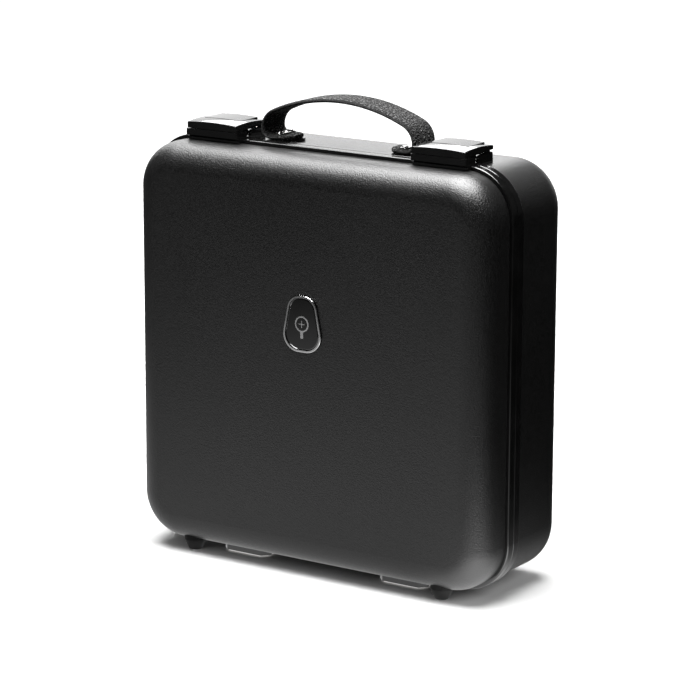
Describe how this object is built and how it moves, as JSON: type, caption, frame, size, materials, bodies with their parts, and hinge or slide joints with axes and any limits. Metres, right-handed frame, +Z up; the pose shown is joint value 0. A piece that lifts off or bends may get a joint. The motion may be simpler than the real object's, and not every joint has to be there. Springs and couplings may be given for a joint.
{
  "type": "trial lens set",
  "caption": "Optician's trial lens set in a square-shouldered black carrying case with two lever latches, a strap handle, hinged lid, feet and slotted lens rows.",
  "frame": {"origin": "bottom centre of the whole set, on the surface that the feet stand on", "axes": "+X to the right when facing the lid, the lid faces -Y, +Z up towards the handle"},
  "size_m": [0.37, 0.1342, 0.4137],
  "materials": {
    "shell_plastic": "satin black, fine moulded grain",
    "frame_gloss": "polished black",
    "seal_rubber": "matt",
    "badge_metal": "polished",
    "badge_gloss": "polished black",
    "emblem_metal": "polished",
    "strap_leather": "pebbled grain",
    "latch_black": "polished black",
    "latch_steel": "zinc plated",
    "bright_metal": "polished",
    "hinge_steel": "satin",
    "foot_rubber": "matt",
    "liner_felt": "short pile",
    "pad_foam": "soft foam",
    "tray_flock": "flocked",
    "rack_black": "moulded",
    "rim_black": "anodised black",
    "rim_red": "anodised red",
    "rim_silver": "anodised clear",
    "lens_glass": "polished",
    "red_glass": "polished",
    "green_glass": "polished"
  },
  "bodies": {
    "base": {"base_shell": "shell_plastic", "base_frame": "frame_gloss", "frame_seal": "seal_rubber", "handle_strap": "strap_leather", "handle_plates": "latch_black", "handle_clamps": "bright_metal", "handle_screws": "bright_metal", "latch_bracket_left": "latch_black", "latch_bracket_right": "latch_black", "latch_pivot_pin_left": "bright_metal", "latch_pivot_pin_right": "bright_metal", "bracket_rivets": "bright_metal", "hinge_leaves_base": "hinge_steel", "hinge_blocks_base": "latch_black", "hinge_screws_base": "bright_metal", "base_feet": "foot_rubber", "foot_screws_base": "bright_metal", "base_liner": "liner_felt", "lens_tray": "tray_flock", "lens_racks": "rack_black", "plus_sphere_rims": "rim_black", "plus_sphere_lenses": "lens_glass", "minus_sphere_rims": "rim_red", "minus_sphere_lenses": "lens_glass", "cylinder_rims": "rim_silver", "cylinder_lenses": "lens_glass", "prism_rims": "rim_silver", "prism_lenses": "lens_glass", "accessory_discs": "rim_black", "filter_rims": "rim_black", "red_filters": "red_glass", "green_filters": "green_glass"},
    "lid": {"lid_shell": "shell_plastic", "lid_frame": "frame_gloss", "badge_rim": "badge_metal", "badge_dome": "badge_gloss", "badge_emblem": "emblem_metal", "latch_keeper_left": "latch_black", "latch_keeper_right": "latch_black", "keeper_rivets": "bright_metal", "hinge_leaves_lid": "hinge_steel", "hinge_blocks_lid": "latch_black", "hinge_pins": "bright_metal", "hinge_screws_lid": "bright_metal", "lid_feet": "foot_rubber", "foot_screws_lid": "bright_metal", "lid_liner": "liner_felt", "lid_pad": "pad_foam"},
    "lever_left": {"latch_lever_left": "latch_black", "claw_pin_left": "bright_metal"},
    "claw_left": {"latch_claw_left": "latch_steel"},
    "lever_right": {"latch_lever_right": "latch_black", "claw_pin_right": "bright_metal"},
    "claw_right": {"latch_claw_right": "latch_steel"}
  },
  "joints": [
    {"name": "lid_hinge", "type": "hinge", "parent": "base", "child": "lid", "pos_m": [0, -0.0203, 0.003], "axis": [1, 0, 0], "range_deg": [0, 105]},
    {"name": "latch_left", "type": "hinge", "parent": "base", "child": "lever_left", "pos_m": [-0.116, 0.0068, 0.3768], "axis": [-1, 0, 0], "range_deg": [0, 95]},
    {"name": "claw_left_swing", "type": "hinge", "parent": "lever_left", "child": "claw_left", "pos_m": [-0.116, -0.0154, 0.3773], "axis": [-1, 0, 0], "range_deg": [-35, 2]},
    {"name": "latch_right", "type": "hinge", "parent": "base", "child": "lever_right", "pos_m": [0.116, 0.0068, 0.3768], "axis": [-1, 0, 0], "range_deg": [0, 95]},
    {"name": "claw_right_swing", "type": "hinge", "parent": "lever_right", "child": "claw_right", "pos_m": [0.116, -0.0154, 0.3773], "axis": [-1, 0, 0], "range_deg": [-35, 2]}
  ],
  "couplings": [
    {"joint": "claw_left_swing", "follows": "latch_left", "ratio": -0.35},
    {"joint": "claw_right_swing", "follows": "latch_right", "ratio": -0.35}
  ]
}
